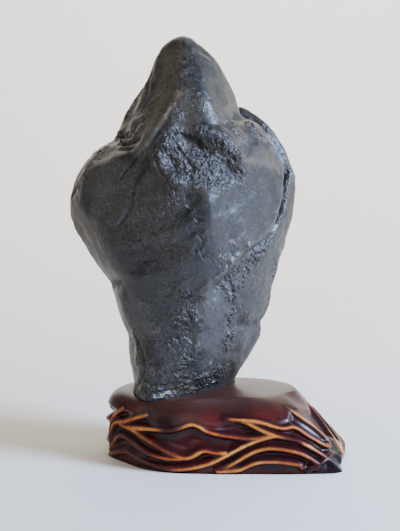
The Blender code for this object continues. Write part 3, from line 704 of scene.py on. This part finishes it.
# The first four brown places are painted warm light: along the arris, on the crest, at the left
# rim.
BROWN_STAIN_AND_SHEEN_PLACES = [
    ("front", 3.0, 1.0, [(-34, 262), (-36, 257), (-43, 247), (-50, 236), (-58, 224)]),
    ("front", 10, 0.8, [(-38, 288), (-42, 270), (-48, 252), (-56, 238), (-60, 228)]),
    ("front", 10, 1.0, [(-54, 272), (-64, 254), (-72, 238)]),
    ("front", 6, 0.9, [(-88, 222), (-96, 214), (-104, 202)]),
    ("front", 6, 0.2, [(1, 128), (4, 121), (1, 110)]),
    ("front", 6, 0.4, [(18, 240), (26, 230)]),
    ("front", 5, 0.8, [(-66, 86), (-62, 74), (-64, 60)]),
    ("front", 5, 0.6, [(-40, 53), (-24, 54)]),
    ("back", 14, 0.6, [(-40, 250), (-20, 236)]),
    ("left", 10, 0.7, [(4, 220), (14, 200)]),
]
# Where shade is painted black, and where dust lies or light is painted, as rough places are
# written.
PAINTED_SHADE_PLACES = [
    ("front", 14, 1.0, [(-27, 178), (-22, 162), (-16, 150), (-10, 141)]),
    ("front", 26, 0.7, [(-64, 146), (-54, 122), (-52, 96), (-52, 74)]),
    ("front", 22, 0.5, [(-38, 140), (-34, 120)]),
]
# Dust on the lower flank; on the left shoulder, painted light that makes it lighter.
DUST_AND_PAINTED_LIGHT_PLACES = [
    ("front", 15, 1.0, [(-8, 122), (-9, 104), (-12, 84), (-12, 72)]),
    ("front", 24, 0.7, [(-84, 198), (-70, 196), (-58, 190)]),
]
# Where the skin is worn round, as rough places are written.
ROUND_PLACES = [
    ("front", 16, 1.0, [(-20, 200), (-20, 180), (-20, 163), (-20, 145), (-19, 128)]),
    ("front", 12, 1.0, [(-18, 198), (-8, 194), (3, 192), (12, 198)]),
    ("front", 12, 0.8, [(-28, 288), (-27, 274), (-24, 262)]),
    ("front", 12, 0.7, [(-58, 208), (-64, 190)]),
]
# The way that the stone's grain runs, and how it turns on the crest.
STREAK = np.array([0.45, 0.0, -0.89])
CREST_STREAK = np.array([-0.5, 0.0, -0.87])


def numbers(points, size, kind=noise.noise):
    """One number of a pattern of this size at each point."""
    return np.array([kind(Vector(p)) for p in points / size])


def cell_middle_far(place):
    """How far a place is from the middle of its cell."""
    return noise.voronoi(place)[0][0]


def route_on(side, pairs):
    """A smooth route over the skin, given as it is seen from one side."""
    across, inward = (Vector(way) for way in SIDES[side])
    found = []
    for a, up in smooth_path(pairs, 0.8):
        start = across * a + Vector((0, 0, up)) - inward * 300
        hit = skin.ray_cast(start * MM, inward)[0]
        if hit:
            found.append(np.array(hit) / MM)
    return np.array(found)


def reach_of(side, pairs, limit):
    """Which points are within the limit of a route, how far off, and how near its ends."""
    path = route_on(side, pairs)
    close, index, far = close_to(path, points, limit)
    length = np.concatenate([[0], np.cumsum(np.linalg.norm(np.diff(path, axis=0), axis=1))])
    from_end = np.minimum(length[index], length[-1] - length[index])
    return close, far, from_end


def places(table):
    """How strongly each point lies in one of these places, from 0 to 1."""
    mask = np.zeros(len(points))
    wander = numbers(points, 7) + 0.6 * numbers(points, 2.6)
    for side, reach, strength, pairs in table:
        close, far, _ = reach_of(side, pairs, 1.4 * reach)
        far = far + 0.45 * reach * wander[close]
        mask[close] = np.maximum(mask[close], strength * (1 - fade(far, 0.35 * reach, reach)))
    return mask


# The skin is made even, smoothed, and worn rounder in places. Then it takes its swells and marks.
stone = copy_of_node("stone", "scholars_stone")
apply_modifier(stone, "REMESH", mode="VOXEL", voxel_size=SKIN_VOXEL * MM)
apply_modifier(stone, "SMOOTH", factor=0.5, iterations=SKIN_SMOOTHING)
skin = BVHTree.FromObject(stone, bpy.context.evaluated_depsgraph_get())
points = coordinates(stone.data)
worn = stone.vertex_groups.new(name="worn")
for index, weight in enumerate(places(ROUND_PLACES).tolist()):
    if weight > 0.02:
        worn.add([index], weight, "REPLACE")
apply_modifier(
    stone, "SMOOTH", factor=0.5, iterations=WORN_SMOOTHING, vertex_group="worn"
)
skin = BVHTree.FromObject(stone, bpy.context.evaluated_depsgraph_get())
points = coordinates(stone.data)
shift = sum(height * numbers(points, length) for length, height in SWELLS)
for side, width, height, pairs in MARKS:
    close, far, from_end = reach_of(side, pairs, 3 * width)
    uneven = 0.8 + 0.5 * numbers(points[close], 5)
    taper = fade(from_end + width, 0, 2.5 * width)
    shift[close] += height * uneven * taper * np.exp(-((far / width) ** 2))
above_seat = fade(points[:, 2], FOOT_TOP - 2, FOOT_TOP + 6)
move_vertices(stone.data, points + vertex_normals(stone.data) * (shift * above_seat)[:, None])

# The rough places are divided again, so that their pits are cut in the mesh.
points = coordinates(stone.data)
rough = places(ROUGH_PLACES)
for face in stone.data.polygons:
    face.select = bool(rough[list(face.vertices)].max() > 0.35)
select_only(stone)
bpy.ops.object.mode_set(mode="EDIT")
bpy.ops.mesh.select_mode(type="FACE")
bpy.ops.mesh.subdivide(number_cuts=1)
bpy.ops.object.mode_set(mode="OBJECT")
points = coordinates(stone.data)
rough = places(ROUGH_PLACES)
patchy = numbers(points, 11)
rough = np.clip(rough * (1 + 1.1 * patchy), 0, 1)
brown = places(BROWN_STAIN_AND_SHEEN_PLACES)
streak = np.where(brown[:, None] > 0.3, CREST_STREAK, STREAK)
drawn = points - 0.6 * (points * streak).sum(axis=1)[:, None] * streak
chips = np.abs(numbers(drawn, CHIP_SIZE)) + 0.6 * np.abs(numbers(points + 40, SMALL_CHIP_SIZE))
pits = 1 - fade(numbers(drawn, PIT_SPACING, cell_middle_far), 0.08, 0.5)
pitting = rough * (CHIP_HEIGHT * (0.42 - chips) - PIT_DEPTH * pits * fade(rough, 0.3, 0.9))
dimples = 1 - fade(numbers(points, DIMPLE_SPACING, cell_middle_far), 0.05, 0.17)
dimples = dimples * fade(numbers(points, 27), -0.2, 0.3)
shift = pitting - DIMPLE_DEPTH * dimples + GRAIN_HEIGHT * numbers(points, GRAIN_SIZE)
shift = shift * fade(points[:, 2], FOOT_TOP - 3, FOOT_TOP + 3)
points = points + vertex_normals(stone.data) * shift[:, None]
move_vertices(stone.data, points)

# How far each point lies below the mean skin round it, or stands above it.
ends = np.empty(2 * len(stone.data.edges), int)
stone.data.edges.foreach_get("vertices", ends)
here, there = ends.reshape(-1, 2).T
here, there = np.concatenate([here, there]), np.concatenate([there, here])
near = np.bincount(here)
mean = points
for _ in range(MEAN_SMOOTHING):
    mean = np.stack([np.bincount(here, mean[there, i]) / near for i in range(3)], axis=1)
below = ((mean - points) * vertex_normals(stone.data)).sum(axis=1)
paint(stone.data, "below", np.clip(0.5 + below / 2, 0, 1))
paint(stone.data, "rough", rough)
# How deep the pits, chips and dimples go, for painted shade in them.
paint(stone.data, "sunk", np.clip(-pitting / 1.6, 0, 1) + 0.8 * dimples)
paint(stone.data, "pale", places(PALE_PLACES))
paint(stone.data, "brown", brown)
paint(stone.data, "dull", places(PAINTED_SHADE_PLACES))
paint(stone.data, "dusty", places(DUST_AND_PAINTED_LIGHT_PLACES))
thin_to(stone, SKIN_TRIANGLES)
bpy.ops.object.shade_smooth()

STONE_BLACK = (0.003, 0.003, 0.003, 1)
STONE_DARK = (0.009, 0.008, 0.006, 1)
STONE_PLAIN = (0.023, 0.019, 0.014, 1)
STONE_PITTED = (0.070, 0.060, 0.050, 1)
BROWN_STAIN_AND_SHEEN = (0.088, 0.063, 0.028, 1)
DUST_AND_PAINTED_LIGHT_TONE = (0.055, 0.053, 0.052, 1)
FLECKS = (0.24, 0.225, 0.2, 1)
PAINTED_EDGE_HIGHLIGHT = (0.085, 0.078, 0.066, 1)
PAINTED_GLINTS = (0.23, 0.215, 0.195, 1)
PALE_CRUST = (0.34, 0.32, 0.29, 1)
# In metres: how far up the rough places are darker and glossier and carry painted glints.
LOW_ROUGH_END = (0.105, 0.14)
STREAK_TURN = 0.46

waxed, shader, place = new_material("waxed_black_stone", Specular_IOR_Level=0.5)
# The colours build up: plain stone, pitted, brown stains and painted warm sheen, dust and painted
# light, flecks, painted shade, a painted edge highlight and painted glints, then dark grain and
# painted shade in crevices, pits and valleys, and last the pale crust.
rough_here = painted(place, "rough")
sunk = painted(place, "sunk")
cloud = place.noise(45, 5, 0.6)
orange_peel = place.noise(260, 3, 0.6)
speck = place.noise(620, 3, 0.65)
drawn_out = place.moved((760, 760, 480), (0, STREAK_TURN, 0))
lumps = drawn_out.cells(1)
streaks = drawn_out.noise(1, 4, 0.7)
tone = cloud.between(0.3, 0.7).blend(STONE_DARK, STONE_PLAIN)
low = rough_here * (1 - place.part(2).between(*LOW_ROUGH_END))
tone = (rough_here * 0.35 - low * 0.25).blend(tone, STONE_PITTED)
warm_stain_and_sheen = painted(place, "brown") * (0.45 + 0.5 * cloud)
# Brown stains, and a painted warm highlight and sheen on the arris, crest and left rim.
tone = warm_stain_and_sheen.blend(tone, BROWN_STAIN_AND_SHEEN)
# Random dust, dust on the flank, and painted light on the left shoulder.
dust_and_painted_light_mask = place.noise(120, 5, 0.7).between(0.5, 0.75) * 0.35
dust_and_painted_light_mask = dust_and_painted_light_mask + painted(place, "dusty") * (0.1 + 0.8 * cloud)
tone = dust_and_painted_light_mask.blend(tone, DUST_AND_PAINTED_LIGHT_TONE)
flecks = speck.between(0.56, 0.72) * (0.22 + 0.5 * rough_here)
tone = flecks.blend(tone, FLECKS)
# Painted shade: black in the dark valley and low at the left.
dull = painted(place, "dull") * (1 - 0.7 * rough_here)
tone = (dull * 0.75).blend(tone, STONE_BLACK)
dark_grain = (1 - speck.between(0.36, 0.47)) * 0.9
# Painted shade in the crevices between the lumps of the rough places.
crevice_shade = lumps.between(0.4, 0.8) * rough_here * 0.7
below = painted(place, "below")
# Painted shade in the valleys, where the skin lies below its mean.
valley_shade = below.between(0.52, 0.9)
# A painted highlight on the proud edges.
edges = (1 - below).between(0.75, 1.0)
tone = (edges * 0.35).blend(tone, PAINTED_EDGE_HIGHLIGHT)
# Painted glints on the proud points of the low rough places.
painted_glints = (1 - below).between(0.62, 0.85) * low * speck.between(0.42, 0.6)
tone = (painted_glints * 0.75).blend(tone, PAINTED_GLINTS)
# Black for the dark grain, and painted shade in crevices, pits and valleys.
for black in (dark_grain, crevice_shade, sunk * 0.85, valley_shade * 0.8):
    tone = black.blend(tone, STONE_BLACK)
crust = painted(place, "pale") * 0.8 + (place.noise(300, 4, 0.7) - 0.5) * 3
tone = crust.between(0.6, 1.3).blend(tone, PALE_CRUST)
shade = (
    0.38 + 0.06 * cloud + 0.3 * (speck - 0.5) - 0.14 * rough_here + 0.35 * valley_shade
    - 0.09 * low - 0.11 * dull
)
relief = (orange_peel * 0.5 + speck * 0.4) * (0.38 + 1.1 * rough_here)
relief = relief.bump(0.0008, 1.0)
relief = ((streaks - lumps * 0.6) * rough_here).bump(0.0008, 1.0, onto=relief)
feed(place, shader, Base_Color=tone, Roughness=shade, Normal=relief)
stone.data.materials.clear()
stone.data.materials.append(waxed)
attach(stone, "root")
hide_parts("stone")


# ---------------------------------------------------------------------------------- the studio
# A pale sweep of card under and behind the object, lit by a cool window at the right and, more
# weakly, by the wall beyond it, by the room above in front and by a wall at the left. The
# backdrop has a light of its own. Sizes are in metres.

FLOOR_SIZE = 8.0
WALL_BEHIND = 1.4
WALL_HEIGHT = 4.0
BEND_WIDTH = 0.7
# Each light: its name, its place, what it is aimed at, its size, power and colour.
LIGHTS = [
    ("window", (1.15, -0.48, 0.78), (0, 0, 0.2), (0.5, 0.6), 88, (0.49, 0.64, 1.0)),
    ("side_wall", (1.3, 0.6, 0.5), (0, 0, 0.2), (0.7, 0.6), 7, (1.0, 0.91, 0.76)),
    ("room", (0.2, -1.7, 1.7), (0, 0, 0.15), (1.8, 1.2), 14, (1.0, 0.86, 0.68)),
    ("left_wall", (-1.35, -0.45, 0.95), (0, 0, 0.17), (1.3, 1.3), 7.5, (0.92, 0.92, 0.92)),
    ("backdrop_light", (0, 0.35, 1.6), (0, 1.35, 1.35), (1.2, 0.4), 62, (1.0, 0.9, 0.72)),
]
ROOM_COLOUR, ROOM_STRENGTH = (0.95, 0.93, 0.9, 1), 0.09
CAMERA_PLACE = (-0.0193, -1.0, 0.273)
CAMERA_LOOKS_DOWN = 7.73
CAMERA_LENS = 95

bpy.ops.object.select_all(action="DESELECT")
bpy.ops.mesh.primitive_plane_add(size=FLOOR_SIZE, location=(0, 0, 0))
sweep = bpy.context.object
sweep.name = "studio_sweep"
bpy.ops.object.mode_set(mode="EDIT")
bpy.ops.mesh.select_mode(type="EDGE")
bpy.ops.mesh.select_all(action="DESELECT")
shape = bmesh.from_edit_mesh(sweep.data)
for edge_line in shape.edges:
    edge_line.select_set(all(v.co.y > 1 for v in edge_line.verts))
bmesh.update_edit_mesh(sweep.data)
bpy.ops.transform.translate(value=(0, WALL_BEHIND - FLOOR_SIZE / 2, 0))
bpy.ops.mesh.extrude_region_move(TRANSFORM_OT_translate={"value": (0, 0, WALL_HEIGHT)})
bpy.ops.mesh.select_mode(type="VERT")
bpy.ops.mesh.select_all(action="SELECT")
bpy.ops.mesh.normals_make_consistent(inside=False)
bpy.ops.object.mode_set(mode="OBJECT")
apply_modifier(sweep, "BEVEL", width=BEND_WIDTH, segments=16, limit_method="ANGLE")
bpy.ops.object.shade_smooth()
card = new_material("pale_card", Base_Color=(0.74, 0.71, 0.65, 1), Roughness=0.85)[0]
sweep.data.materials.append(card)

for name, place, aim, size, power, colour in LIGHTS:
    bpy.ops.object.light_add(type="AREA", location=place)
    light = bpy.context.object
    light.name = name
    light.data.shape = "RECTANGLE"
    light.data.size, light.data.size_y = size
    light.data.energy = power
    light.data.color = colour
    light.rotation_euler = (Vector(aim) - Vector(place)).to_track_quat("-Z", "Y").to_euler()
world = bpy.data.worlds.new("studio")
bpy.context.scene.world = world
world.use_nodes = True
background = world.node_tree.nodes["Background"]
background.inputs["Color"].default_value = ROOM_COLOUR
background.inputs["Strength"].default_value = ROOM_STRENGTH

bpy.ops.object.camera_add(
    location=CAMERA_PLACE, rotation=(math.radians(90 - CAMERA_LOOKS_DOWN), 0, 0)
)
camera = bpy.context.object
camera.data.lens = CAMERA_LENS
camera.data.sensor_width = 36
camera.data.clip_start = 0.01
bpy.context.scene.camera = camera
